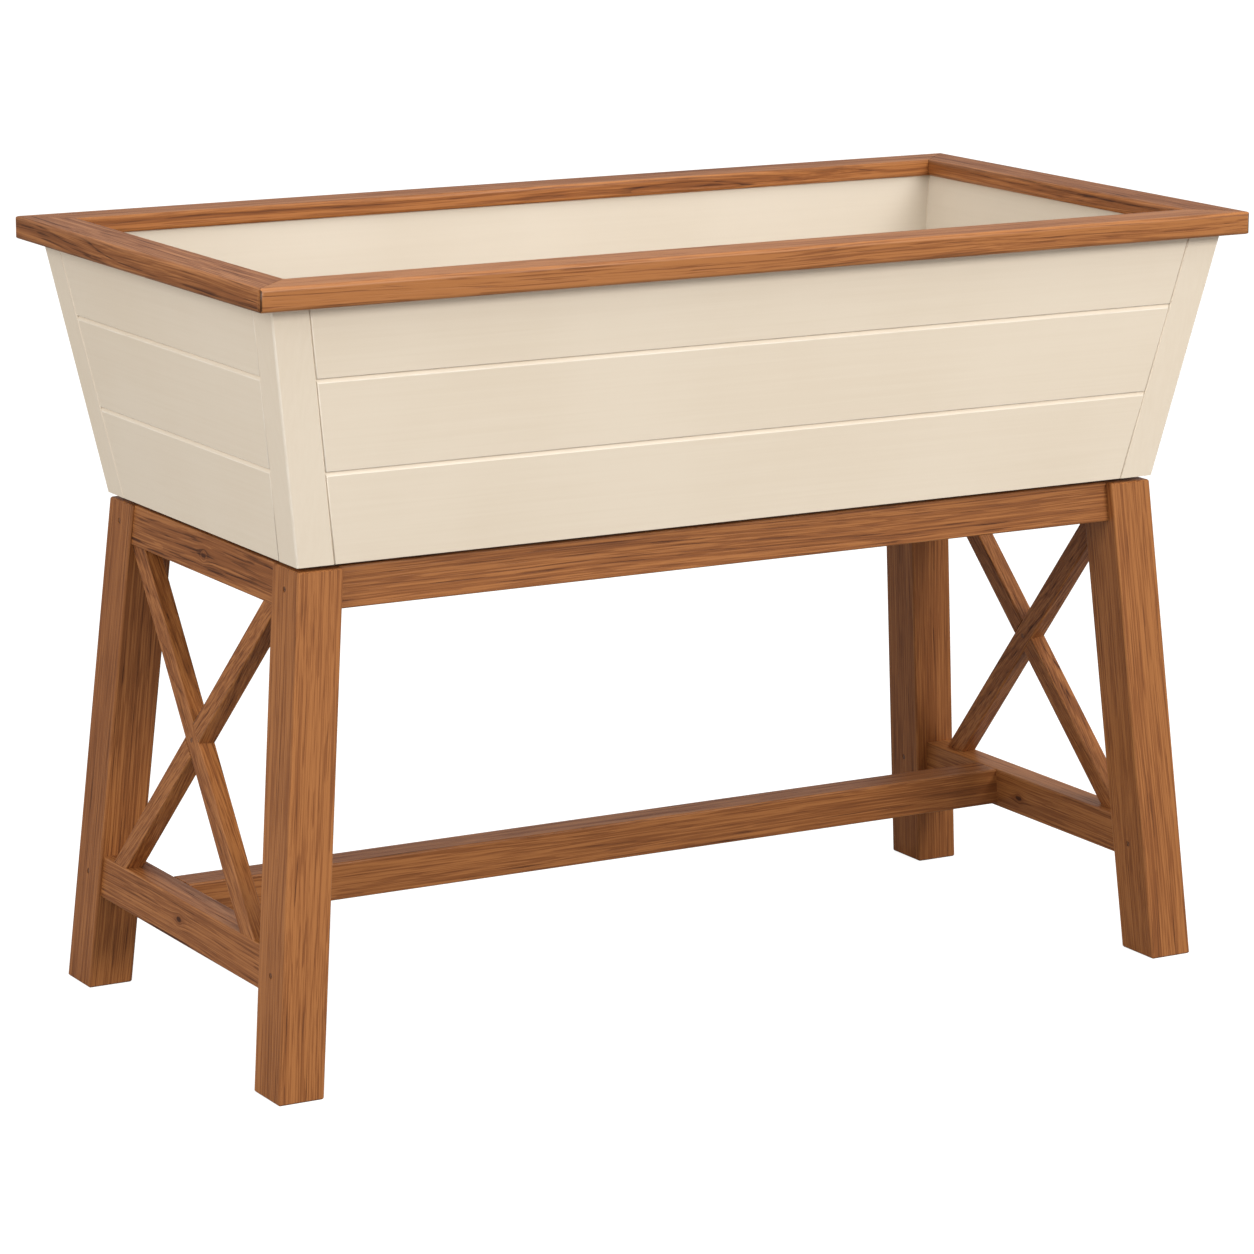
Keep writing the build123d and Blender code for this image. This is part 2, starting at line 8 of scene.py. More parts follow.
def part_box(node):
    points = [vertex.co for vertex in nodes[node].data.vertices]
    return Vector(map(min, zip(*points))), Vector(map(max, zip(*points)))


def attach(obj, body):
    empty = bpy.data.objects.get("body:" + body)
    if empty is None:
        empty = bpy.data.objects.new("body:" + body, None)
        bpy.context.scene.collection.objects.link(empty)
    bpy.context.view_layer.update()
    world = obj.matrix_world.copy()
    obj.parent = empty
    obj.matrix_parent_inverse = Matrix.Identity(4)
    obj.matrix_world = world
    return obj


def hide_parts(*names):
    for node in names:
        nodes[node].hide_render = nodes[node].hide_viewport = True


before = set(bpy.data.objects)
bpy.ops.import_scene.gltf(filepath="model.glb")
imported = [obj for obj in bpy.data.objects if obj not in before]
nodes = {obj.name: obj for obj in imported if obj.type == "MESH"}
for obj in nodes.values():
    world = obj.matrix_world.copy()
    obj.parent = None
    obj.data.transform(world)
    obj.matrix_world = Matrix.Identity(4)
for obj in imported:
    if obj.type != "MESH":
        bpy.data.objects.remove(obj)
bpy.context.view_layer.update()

# ------------------------------------------------------------------ legs
# Four posts of solid teak, leaning inward both ways and sawn flat at the floor.  They are
# planed, their long arrises are rounded over, and the whole stand is wiped with teak oil.

TEAK_PALE = (0.394, 0.151, 0.0440, 1.0)
TEAK_WARM = (0.246, 0.082, 0.0214, 1.0)
TEAK_DARK = (0.065, 0.0180, 0.0048, 1.0)
TEAK_WORN_AND_LIT = (0.440, 0.190, 0.065, 1.0)  # arrises: worn oil, plus painted highlight
TEAK_SEAM = (0.030, 0.010, 0.0030, 1.0)  # laid along the mitre lines, darker
TEAK_RING = 0.0042  # width of one year's growth
TEAK_SHINE = 0.24
# how strongly the arrises are lightened, as worn oil and as painted highlight
TEAK_WEAR_AND_HIGHLIGHT = 0.22
OIL_FILM = 0.03
OIL_ROUGHNESS = 0.32
LEG_EASING = 0.0008  # on the arrises that the moulder left sharp
LEG_SPLAY = (0.047, 0.037)  # how far a foot stands out past the top of its leg, along x and y
LEG_TWIST = radians(35)  # of the rings round the first leg; each of the others is turned a radian more
LEG_FIGURE = {"Streak Strength": 0.52, "Thread Strength": 0.18}  # quieter than in the rails

WELD = 0.00001  # corners closer than this are one corner
FLAT = radians(0.3)  # faces that turn less than this are one face
SHARP = radians(31)  # an outer corner that turns more than this is an arris to ease
CREASE = radians(40)  # shading breaks where the faces turn more than this
LEAST_ARRIS = 0.004  # shorter edges belong to bored holes and small roundings
NARROW = 0.0013  # a face no wider than this is part of a rounded arris


def step(tree, kind, inputs=(), **options):
    """Adds one shader node; its inputs are numbers or the outputs of other nodes."""
    made = tree.nodes.new("ShaderNode" + kind)
    for option, value in options.items():
        setattr(made, option, value)
    for place, value in dict(inputs).items():
        if isinstance(value, bpy.types.NodeSocket):
            tree.links.new(value, made.inputs[place])
        else:
            made.inputs[place].default_value = value
    return made


def shared_effect(name, takes, gives):
    """An empty node group with named inputs and outputs."""
    tree = bpy.data.node_groups.new(name, "ShaderNodeTree")
    for label, kind, value in takes:
        socket = tree.interface.new_socket(label, in_out="INPUT", socket_type="NodeSocket" + kind)
        socket.default_value = value
    for label, kind in gives:
        tree.interface.new_socket(label, in_out="OUTPUT", socket_type="NodeSocket" + kind)
    return tree, tree.nodes.new("NodeGroupInput").outputs, tree.nodes.new("NodeGroupOutput").inputs


def stretched_noise(tree, grain, lengthwise, across, detail=2.0, roughness=0.5):
    """Noise drawn out along the grain; both sizes are in cycles per metre."""
    scaled = step(tree, "VectorMath", {0: grain, 1: (lengthwise, across, across)}, operation="MULTIPLY")
    return step(
        tree, "TexNoise",
        {"Vector": scaled.outputs[0], "Scale": 1.0, "Detail": detail, "Roughness": roughness},
    )


def maths(tree, operation, first, second=0.0, third=0.0, clamp=False):
    """One number from up to three."""
    made = step(tree, "Math", {0: first, 1: second, 2: third}, operation=operation, use_clamp=clamp)
    return made.outputs[0]


def ranged(tree, value, low, high, to_low=0.0, to_high=1.0):
    """Spreads the values from low to high over a new range."""
    made = step(
        tree, "MapRange",
        {"Value": value, "From Min": low, "From Max": high, "To Min": to_low, "To Max": to_high},
        interpolation_type="SMOOTHSTEP",
    )
    return made.outputs["Result"]


def blended(tree, share, first, second):
    """One colour from two; the numbers are the sockets that mix colours."""
    made = step(
        tree, "Mix", {0: share, 6: first, 7: second}, data_type="RGBA", blend_type="MIX", clamp_factor=True
    )
    return made.outputs[2]


def wood_figure():
    """Sawn wood, in a frame whose X axis is the heart of the tree and so runs along the grain."""
    tree, takes, gives = shared_effect(
        "wood_figure",
        (
            ("Grain", "Vector", (0.0, 0.0, 0.0)),
            ("Pale", "Color", TEAK_PALE),
            ("Warm", "Color", TEAK_WARM),
            ("Dark", "Color", TEAK_DARK),
            ("Ring Width", "Float", TEAK_RING),
            ("Ring Strength", "Float", 0.40),
            ("Streak Strength", "Float", 0.90),
            ("Pore Strength", "Float", 0.52),
            ("Thread Strength", "Float", 0.26),
            ("Wander", "Float", 0.016),
            ("Painted Shade", "Float", 0.0),
            ("Knot", "Vector", (0.0, 0.0, 9.0)),
            ("Knot Size", "Float", 0.004),
        ),
        (("Color", "Color"), ("Depth", "Float"), ("Roughness", "Float"), ("Height", "Float")),
    )
    grain = takes["Grain"]

    # The fibres part round a knot, and the rings wander along the trunk.
    to_knot = step(tree, "VectorMath", {0: grain, 1: takes["Knot"]}, operation="SUBTRACT").outputs[0]
    flattened = step(tree, "VectorMath", {0: to_knot, 1: (0.45, 1.0, 1.0)}, operation="MULTIPLY")
    distance = step(tree, "VectorMath", {0: flattened.outputs[0]}, operation="LENGTH").outputs["Value"]
    reach = maths(tree, "MULTIPLY", takes["Knot Size"], 4.5)
    parting = ranged(tree, distance, 0.0, reach, 1.0, 0.0)
    pushed = step(tree, "VectorMath", {0: to_knot}, operation="NORMALIZE").outputs[0]
    push = maths(tree, "MULTIPLY", parting, maths(tree, "MULTIPLY", takes["Knot Size"], -1.6))
    parted = step(tree, "VectorMath", {0: pushed, "Scale": push}, operation="SCALE").outputs[0]
    drift = stretched_noise(tree, grain, 1.7, 7.0, 1.5)
    wander = step(tree, "CombineXYZ", {1: takes["Wander"], 2: takes["Wander"]}).outputs[0]
    wandered = step(
        tree, "VectorMath", {0: drift.outputs["Color"], 1: wander, 2: grain}, operation="MULTIPLY_ADD"
    ).outputs[0]
    course = step(tree, "VectorMath", {0: wandered, 1: parted}, operation="ADD").outputs[0]

    # Growth rings: each year starts with a thin dark line of open pores, fades into paler wood and
    # darkens a little again at its end.  Some years are stronger than others.
    radius = step(tree, "VectorMath", {0: course, 1: (0.0, 1.0, 1.0)}, operation="MULTIPLY").outputs[0]
    radius = step(tree, "VectorMath", {0: radius}, operation="LENGTH").outputs["Value"]
    year = maths(tree, "DIVIDE", radius, takes["Ring Width"])
    along_years = step(tree, "CombineXYZ", {0: year}).outputs[0]
    uneven = step(tree, "TexNoise", {"Vector": along_years, "Scale": 0.8, "Detail": 1.0})
    year = maths(tree, "MULTIPLY_ADD", uneven.outputs["Fac"], 2.4, year)
    season = maths(tree, "FRACT", year)
    line = ranged(tree, season, 0.0, 0.26, 1.0, 0.0)
    late = ranged(tree, season, 0.55, 1.0, 0.0, 0.35)
    whole_year = step(tree, "CombineXYZ", {0: maths(tree, "FLOOR", year)}).outputs[0]
    vigour = step(tree, "TexWhiteNoise", {"Vector": whole_year})
    vigour = maths(tree, "MULTIPLY_ADD", vigour.outputs["Value"], 0.75, 0.25)
    rings = maths(tree, "MULTIPLY", maths(tree, "ADD", line, late), vigour)

    # Bands of colour, fine fibres, thin dark threads, and the short dark dashes of cut pores.
    patches = stretched_noise(tree, grain, 1.3, 14.0, 2.0).outputs["Fac"]
    bands = stretched_noise(tree, course, 1.5, 120.0, 4.0, 0.62).outputs["Fac"]
    fibres = stretched_noise(tree, course, 7.0, 640.0, 3.0, 0.65).outputs["Fac"]
    pores = stretched_noise(tree, course, 14.0, 450.0, 1.5, 0.5).outputs["Fac"]
    pores = ranged(tree, pores, 0.54, 0.61)
    crowded = maths(tree, "MULTIPLY_ADD", rings, 0.8, 0.40)
    pores = maths(tree, "MULTIPLY", pores, crowded)
    threads = stretched_noise(tree, course, 2.0, 170.0, 2.5, 0.5).outputs["Fac"]
    threads = maths(tree, "ABSOLUTE", maths(tree, "SUBTRACT", threads, 0.5))
    threads = ranged(tree, threads, 0.0, 0.035, 1.0, 0.0)

    # All of them add up to one depth of colour, and a knot is darkest of all.
    depth = maths(tree, "MULTIPLY", rings, takes["Ring Strength"])
    streaks = maths(tree, "MULTIPLY", maths(tree, "SUBTRACT", bands, 0.5), takes["Streak Strength"])
    depth = maths(tree, "ADD", depth, streaks)
    depth = maths(tree, "MULTIPLY_ADD", maths(tree, "SUBTRACT", fibres, 0.5), 1.7, depth)
    depth = maths(tree, "MULTIPLY_ADD", threads, takes["Thread Strength"], depth)
    depth = maths(tree, "MULTIPLY_ADD", maths(tree, "SUBTRACT", patches, 0.5), 0.55, depth)
    depth = maths(tree, "MULTIPLY_ADD", pores, takes["Pore Strength"], depth)
    # the member's shade number darkens it all as painted shade, or lightens it as painted light below zero
    depth = maths(tree, "ADD", depth, takes["Painted Shade"])
    half_size = maths(tree, "MULTIPLY", takes["Knot Size"], 0.5)
    ring_of_knot = ranged(tree, distance, half_size, takes["Knot Size"], 1.0, 0.0)
    halo = maths(tree, "MULTIPLY", maths(tree, "POWER", parting, 3.0), 0.35)
    depth = maths(tree, "ADD", depth, maths(tree, "MULTIPLY_ADD", ring_of_knot, 0.9, halo))
    depth = maths(tree, "ADD", depth, 0.16)

    light_half = blended(tree, ranged(tree, depth, 0.0, 0.45), takes["Pale"], takes["Warm"])
    colour = blended(tree, ranged(tree, depth, 0.40, 1.25), light_half, takes["Dark"])
    sunk = maths(tree, "MULTIPLY_ADD", pores, -1.0, maths(tree, "MULTIPLY", fibres, 0.35))
    tree.links.new(colour, gives["Color"])
    tree.links.new(ranged(tree, depth, 0.0, 1.3), gives["Depth"])
    tree.links.new(ranged(tree, depth, 0.0, 1.2, 0.40, 0.60), gives["Roughness"])
    tree.links.new(maths(tree, "MULTIPLY_ADD", rings, -0.4, sunk), gives["Height"])
    return tree


def worn_and_lit_arris():
    """Lightens the arrises in patches, partly as worn finish and partly as a painted highlight where they
    catch the light; the faces along the mitres are darkened.
    """
    tree, takes, gives = shared_effect(
        "worn_and_lit_arris",
        (
            ("Color", "Color", TEAK_WARM),
            ("Worn And Lit", "Color", TEAK_WORN_AND_LIT),
            ("Place", "Vector", (0.0, 0.0, 0.0)),
            ("Amount", "Float", 0.35),
        ),
        (("Color", "Color"), ("Mask", "Float")),
    )
    arris = step(tree, "Attribute", attribute_name="arris").outputs["Fac"]
    patches = step(
        tree, "TexNoise", {"Vector": takes["Place"], "Scale": 28.0, "Detail": 4.0, "Roughness": 0.65}
    )
    # The arrises are lightened in patches: worn finish, and a painted highlight where rounded edges catch
    # light.
    wear_and_highlight = maths(tree, "MULTIPLY", arris, ranged(tree, patches.outputs["Fac"], 0.30, 0.66, 0.35, 1.0))
    wear_and_highlight = maths(tree, "MULTIPLY", wear_and_highlight, takes["Amount"], clamp=True)
    # the faces along the mitre lines are laid in a darker colour
    seam = maths(tree, "MULTIPLY", step(tree, "Attribute", attribute_name="seam").outputs["Fac"], 0.8)
    lightened_arrises = blended(tree, wear_and_highlight, takes["Color"], takes["Worn And Lit"])
    tree.links.new(blended(tree, seam, lightened_arrises, TEAK_SEAM), gives["Color"])
    tree.links.new(wear_and_highlight, gives["Mask"])
    return tree


FIGURE = wood_figure()
ARRIS_WEAR_AND_HIGHLIGHT = worn_and_lit_arris()


def middle_of(node):
    """The middle of a member's box."""
    low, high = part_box(node)
    return (low + high) / 2


def laid_along(node, along, twist, heart, slip):
    """Turn and shift that lay a member along the grain; heart says how far off the tree's axis lies."""
    turn = Matrix.Rotation(twist, 3, "X") @ along.rotation_difference(Vector((1, 0, 0))).to_matrix()
    shift = Vector((slip, heart[0], heart[1])) - turn @ middle_of(node)
    return turn, shift


def plain_material(name):
    """A material with only its Principled shader, and that shader."""
    made = bpy.data.materials.new(name)
    made.use_nodes = True
    return made, made.node_tree, made.node_tree.nodes["Principled BSDF"]


def in_grain(tree, turn, shift):
    """Object coordinates turned and shifted so that X runs along the grain."""
    coordinates = step(tree, "TexCoord").outputs["Object"]
    settings = {"Vector": coordinates, "Location": shift, "Rotation": turn.to_euler()}
    return coordinates, step(tree, "Mapping", settings).outputs[0]


def placed_group(tree, group, inputs):
    """A shared effect placed in one material with its own values."""
    return step(tree, "Group", inputs, node_tree=group).outputs


def dressed(tree, shader, colour, roughness, height, strength, distance):
    """Gives a shader its changing colour, roughness and relief; distance is the relief's depth."""
    bump = step(tree, "Bump", {"Height": height, "Strength": strength, "Distance": distance})
    tree.links.new(colour, shader.inputs["Base Color"])
    tree.links.new(roughness, shader.inputs["Roughness"])
    tree.links.new(bump.outputs[0], shader.inputs["Normal"])


def oiled_teak(node, along, heart=(0.05, 0.09), twist=0.0, slip=0.0, painted_shade=0.0, knot=None, **figure):
    """Oiled teak whose figure runs along one member.

    heart, twist and slip choose where in the tree it was sawn.  The shade number darkens the whole member as
    painted shade, or lightens it as painted light below zero.  knot is a point in the member and the size of
    the pin knot there.
    """
    made, tree, shader = plain_material("teak_" + node)
    turn, shift = laid_along(node, along, twist, heart, slip)
    coordinates, grain = in_grain(tree, turn, shift)
    settings = {"Grain": grain, "Painted Shade": painted_shade, **figure}
    if knot:
        settings["Knot"] = turn @ knot[0] + shift
        settings["Knot Size"] = knot[1]
    wood = placed_group(tree, FIGURE, settings)
    worn_and_lit = placed_group(tree, ARRIS_WEAR_AND_HIGHLIGHT, {"Color": wood["Color"], "Place": coordinates, "Amount": TEAK_WEAR_AND_HIGHLIGHT})
    dressed(tree, shader, worn_and_lit["Color"], wood["Roughness"], wood["Height"], strength=0.35, distance=0.0004)
    shader.inputs["Specular IOR Level"].default_value = TEAK_SHINE
    shader.inputs["Coat Weight"].default_value = OIL_FILM
    shader.inputs["Coat Roughness"].default_value = OIL_ROUGHNESS
    return made


def worked(node, ending, easing, material):
    """The finished form of one member: sharp outer arrises eased, roundings shaded smooth."""
    form = bmesh.new()
    form.from_mesh(nodes[node].data)
    bmesh.ops.remove_doubles(form, verts=form.verts, dist=WELD)
    bmesh.ops.dissolve_limit(form, angle_limit=FLAT, verts=form.verts[:], edges=form.edges[:])
    arris = form.faces.layers.float.new("arris")
    for face in form.faces:
        longest = max(edge.calc_length() for edge in face.edges)
        if longest > LEAST_ARRIS and face.calc_area() / longest < NARROW:
            face[arris] = 1.0
    sharp = [
        edge for edge in form.edges
        if edge.calc_face_angle_signed(0.0) > SHARP and edge.calc_length() > LEAST_ARRIS
    ]
    eased = bmesh.ops.bevel(
        form, geom=sharp, offset=easing, offset_type="OFFSET", segments=2, profile=0.5,
        affect="EDGES", clamp_overlap=True, material=-1,
    )
    for face in eased["faces"]:
        face[arris] = 1.0
    for face in form.faces:
        face.smooth = True
        face.material_index = 0
    mesh = bpy.data.meshes.new(node + ending)
    form.to_mesh(mesh)
    form.free()
    mesh.set_sharp_from_angle(angle=CREASE)
    mesh.materials.append(material)
    piece = bpy.data.objects.new(node + ending, mesh)
    bpy.context.scene.collection.objects.link(piece)
    evened = piece.modifiers.new("evened", "WEIGHTED_NORMAL")
    evened.keep_sharp = True
    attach(piece, "root")
    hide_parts(node)
    return piece


# Painted shade: the back legs, in shade under the trough, are darkened; the front legs are lightened a
# little as painted light.
leg_painted_shades = {"front_left": -0.05, "front_right": -0.06, "back_left": 0.14, "back_right": 0.15}
for number, (place, painted_shade) in enumerate(leg_painted_shades.items()):
    node = "leg_" + place
    foot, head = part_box(node)
    lean_x = 1.0 if place.endswith("left") else -1.0
    lean_y = 1.0 if place.startswith("front") else -1.0
    rise = head.z - foot.z
    along = Vector((lean_x * LEG_SPLAY[0], lean_y * LEG_SPLAY[1], rise)).normalized()
    finish = oiled_teak(
        node, along, heart=(0.10, 0.13), twist=LEG_TWIST + number, slip=0.7 * number, painted_shade=painted_shade,
        **LEG_FIGURE,
    )
    worked(node, "_planed", LEG_EASING, finish)

# ------------------------------------------------------------------ aprons and end rails
# Teak rails under the box.  Their ends are tenoned into the legs; the long pair stands
# further in than the end pair, and each is planed and rounded like the legs.

RAIL_EASING = 0.0006
long_way = Vector((1, 0, 0))
short_way = Vector((0, 1, 0))

for number, side in enumerate(("front", "back")):
    node = "apron_" + side
    # Both aprons are darkened slightly as painted shade.
    finish = oiled_teak(
        node, long_way, heart=(0.045, 0.06), twist=0.3 + number, slip=2.1 * number, painted_shade=0.02
    )
    worked(node, "_planed", RAIL_EASING, finish)

PIN_KNOT = 0.0034
KNOT_DEPTH = 0.003  # of the knot's middle inside the face it shows in


def knot_in_face(node, behind_middle, above_bottom):
    """A point just inside the left face of a rail, and the size of the pin knot there."""
    low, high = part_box(node)
    place = Vector((low.x + KNOT_DEPTH, (low.y + high.y) / 2 + behind_middle, low.z + above_bottom))
    return place, PIN_KNOT


# The left end rail has a pin knot a little in front of its middle.
rail_knots = {"left": knot_in_face("end_rail_left", -0.005, 0.021), "right": None}
for number, side in enumerate(("left", "right")):
    node = "end_rail_" + side
    # Both end rails are lightened a little as painted light.
    finish = oiled_teak(
        node, short_way, heart=(0.03, 0.045), twist=0.9 + number, slip=4.0 + number, painted_shade=-0.06,
        knot=rail_knots[side], Wander=0.03,
    )
    worked(node, "_planed", RAIL_EASING, finish)

# ------------------------------------------------------------------ stretchers
# Low teak bars that tie the legs: one across each end, pegged through the legs, and a long
# one tenoned between them, set back for toe room.  Both end bars show a pin knot.

stretcher_knots = {
    "left": knot_in_face("end_stretcher_left", 0.0015, 0.0243),
    "right": knot_in_face("end_stretcher_right", 0.007, 0.0203),
}
for number, side in enumerate(("left", "right")):
    node = "end_stretcher_" + side
    # The left bar is darkened as painted shade and the right one lightened as painted light.
    finish = oiled_teak(
        node, short_way, heart=(0.04, 0.03), twist=2.2 + number, slip=6.0 + number,
        painted_shade=0.06 - 0.16 * number, knot=stretcher_knots[side], Wander=0.02,
    )
    worked(node, "_planed", RAIL_EASING, finish)

# The long bar is darkened slightly as painted shade.
finish = oiled_teak("long_stretcher", long_way, heart=(0.03, 0.055), twist=1.1, slip=8.3, painted_shade=0.03)
worked("long_stretcher", "_planed", RAIL_EASING, finish)

# ------------------------------------------------------------------ braces
# Two slim teak bars cross in each end of the stand.  They are halved over each other, pinned
# through the crossing and dowelled to the rail above and the stretcher below.

BRACE_EASING = 0.0005
braces = [(side, lap) for side in ("left", "right") for lap in ("outer", "inner")]
for number, (side, lap) in enumerate(braces):
    node = f"brace_{side}_{lap}"
    low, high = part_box(node)
    rise = 1.0 if lap == "outer" else -1.0
    along = Vector((0.0, rise * (high.y - low.y), high.z - low.z)).normalized()
    # Each brace is darkened slightly as painted shade.
    finish = oiled_teak(
        node, along, heart=(0.07, 0.05), twist=0.6 * number, slip=10.0 + number, painted_shade=0.02
    )
    worked(node, "_planed", BRACE_EASING, finish)

# ------------------------------------------------------------------ pegs, pins and dowels
# Turned hardwood pegs lock the tenons in the legs and the braces at their crossings.  Their
# ends are cut just below the surface, so they show as small dark rounds of end grain.

PEG_PALE = (0.205, 0.076, 0.025, 1.0)
PEG_WARM = (0.125, 0.043, 0.013, 1.0)
PEG_DARK = (0.025, 0.008, 0.003, 1.0)
upright = Vector((0, 0, 1))


def end_grain(node, along, twist):
    """Dark hardwood seen mostly from the ends of its fibres."""
    made, tree, shader = plain_material("peg_" + node)
    turn, shift = laid_along(node, along, twist, (0.012, 0.02), 0.0)
    coordinates, grain = in_grain(tree, turn, shift)
    wood = placed_group(
        tree, FIGURE,
        {
            "Grain": grain, "Pale": PEG_PALE, "Warm": PEG_WARM, "Dark": PEG_DARK,
            "Ring Width": 0.0016, "Ring Strength": 0.6, "Pore Strength": 0.9, "Wander": 0.002,
        },
    )
    dressed(tree, shader, wood["Color"], wood["Roughness"], wood["Height"], strength=0.5, distance=0.0002)
    return made


for node in ("rail_pegs", "stretcher_pegs", "brace_pins"):
    nodes[node].data.materials[0] = end_grain(node, long_way, twist=0.4)
nodes["brace_dowels"].data.materials[0] = end_grain("brace_dowels", upright, twist=0.1)
nodes["rim_dowels"].data.materials[0] = end_grain("rim_dowels", upright, twist=0.7)
nodes["rim_biscuits"].data.materials[0] = end_grain("rim_biscuits", short_way, twist=1.3)

# ------------------------------------------------------------------ bearers and floor slats
# Three sawn softwood bearers lie across the stand and carry the walls; four slats are
# screwed down on them with gaps between for drainage.  They are left bare.

PINE_PALE = (0.700, 0.520, 0.310, 1.0)
PINE_WARM = (0.560, 0.370, 0.190, 1.0)
PINE_DARK = (0.300, 0.160, 0.070, 1.0)
PINE_SHINE = 0.3
SLAT_EASING = 0.0006


def bare_pine(node, along, twist, slip):
    """Sawn softwood with wide rings and a dry surface."""
    made, tree, shader = plain_material("pine_" + node)
    turn, shift = laid_along(node, along, twist, (0.06, 0.03), slip)
    coordinates, grain = in_grain(tree, turn, shift)
    wood = placed_group(
        tree, FIGURE,
        {
            "Grain": grain, "Pale": PINE_PALE, "Warm": PINE_WARM, "Dark": PINE_DARK,
            "Ring Width": 0.0052, "Ring Strength": 0.5, "Streak Strength": 0.4, "Pore Strength": 0.12,
            "Thread Strength": 0.1, "Wander": 0.02,
        },
    )
    dry = ranged(tree, wood["Depth"], 0.0, 1.0, 0.62, 0.80)
    dressed(tree, shader, wood["Color"], dry, wood["Height"], strength=0.6, distance=0.0005)
    shader.inputs["Specular IOR Level"].default_value = PINE_SHINE
    return made


for number, place in enumerate(("left", "middle", "right")):
    node = "bearer_" + place
    nodes[node].data.materials[0] = bare_pine(node, short_way, twist=1.0 + number, slip=1.3 * number)
for number in range(1, 5):
    node = f"floor_slat_{number}"
    pine = bare_pine(node, long_way, twist=0.8 * number, slip=1.7 * number)
    worked(node, "_sawn", SLAT_EASING, pine)

# ------------------------------------------------------------------ screws
# Stainless countersunk screws with a hexagon socket hold the bearers, the slats and the
# tenons of the long stretcher.

STEEL_LIGHT = (0.60, 0.59, 0.57, 1.0)
STEEL_DULL = (0.36, 0.35, 0.33, 1.0)
TURNING_MARKS = (900.0, 900.0, 2600.0)  # cycles per metre across the screws and along them

steel, tree, shader = plain_material("turned_steel")
coordinates = step(tree, "TexCoord").outputs["Object"]
turned = step(tree, "Mapping", {"Vector": coordinates, "Scale": TURNING_MARKS}).outputs[0]
marks = step(tree, "TexNoise", {"Vector": turned, "Scale": 1.0, "Detail": 3.0}).outputs["Fac"]
polish = ranged(tree, marks, 0.2, 0.8, 0.24, 0.42)
brightness = blended(tree, marks, STEEL_LIGHT, STEEL_DULL)
dressed(tree, shader, brightness, polish, marks, strength=0.2, distance=0.0001)
shader.inputs["Metallic"].default_value = 1.0
for node in ("bearer_screws", "floor_screws", "stretcher_screws"):
    nodes[node].data.materials[0] = steel

# ------------------------------------------------------------------ lining, boards and stiles
# The trough is a smooth lining with tongued and grooved boards glued outside it between
# mitred corner stiles.  All of it is sprayed with a cream satin paint before the rim goes on.

CREAM = (0.800, 0.690, 0.548, 1.0)
CREAM_DEEP = (0.765, 0.650, 0.505, 1.0)
CREAM_WORN_AND_LIT = (0.880, 0.790, 0.665, 1.0)  # arrises: worn paint, plus painted highlight
INSIDE_PAINTED_SHADE = (0.618, 0.550, 0.452, 1.0)  # the lining's cream, darkened as painted shade
INSIDE_DEEP_PAINTED_SHADE = (0.596, 0.527, 0.428, 1.0)
PAINT_SHINE = 0.35
# how strongly the painted arrises are lightened, as worn paint and as painted highlight
PAINT_WEAR_AND_HIGHLIGHT = 0.85
BOARD_EASING = 0.0009
STILE_EASING = 0.0010
LINING_EASING = 0.0005
NEXT_BOARD = 1.3  # each board and stile shows a stretch of grain this much further along the wood


def sprayed_film():
    """Satin paint: fine orange peel, the grain of the wood just showing through, faint clouding."""
    tree, takes, gives = shared_effect(
        "sprayed_film",
        (
            ("Grain", "Vector", (0.0, 0.0, 0.0)),
            ("Place", "Vector", (0.0, 0.0, 0.0)),
            ("Color", "Color", CREAM),
            ("Deep", "Color", CREAM_DEEP),
        ),
        (("Color", "Color"), ("Roughness", "Float"), ("Height", "Float")),
    )
    place = takes["Place"]
    clouds = step(tree, "TexNoise", {"Vector": place, "Scale": 5.0, "Detail": 3.0}).outputs["Fac"]
    peel = step(tree, "TexNoise", {"Vector": place, "Scale": 420.0, "Detail": 2.0}).outputs["Fac"]
    raised = stretched_noise(tree, takes["Grain"], 5.0, 260.0, 3.0, 0.55).outputs["Fac"]
    shade = maths(tree, "MULTIPLY_ADD", raised, 0.45, maths(tree, "MULTIPLY", clouds, 0.75))
    colour = blended(tree, ranged(tree, shade, 0.40, 0.85), takes["Color"], takes["Deep"])
    height = maths(tree, "MULTIPLY_ADD", raised, 0.6, maths(tree, "MULTIPLY", peel, 0.7))
    tree.links.new(colour, gives["Color"])
    tree.links.new(ranged(tree, clouds, 0.25, 0.75, 0.42, 0.52), gives["Roughness"])
    tree.links.new(height, gives["Height"])
    return tree


FILM = sprayed_film()


def cream_paint(node, along, slip, colour=CREAM, deep=CREAM_DEEP):
    """Cream satin paint on one board, stile or panel."""
    made, tree, shader = plain_material("paint_" + node)
    turn, shift = laid_along(node, along, 0.5, (0.02, 0.03), slip)
    coordinates, grain = in_grain(tree, turn, shift)
    film = placed_group(tree, FILM, {"Grain": grain, "Place": coordinates, "Color": colour, "Deep": deep})
    worn_and_lit = placed_group(
        tree, ARRIS_WEAR_AND_HIGHLIGHT,
        {"Color": film["Color"], "Worn And Lit": CREAM_WORN_AND_LIT, "Place": coordinates, "Amount": PAINT_WEAR_AND_HIGHLIGHT},
    )
    dressed(tree, shader, worn_and_lit["Color"], film["Roughness"], film["Height"], strength=0.22, distance=0.0003)
    shader.inputs["Specular IOR Level"].default_value = PAINT_SHINE
    return made


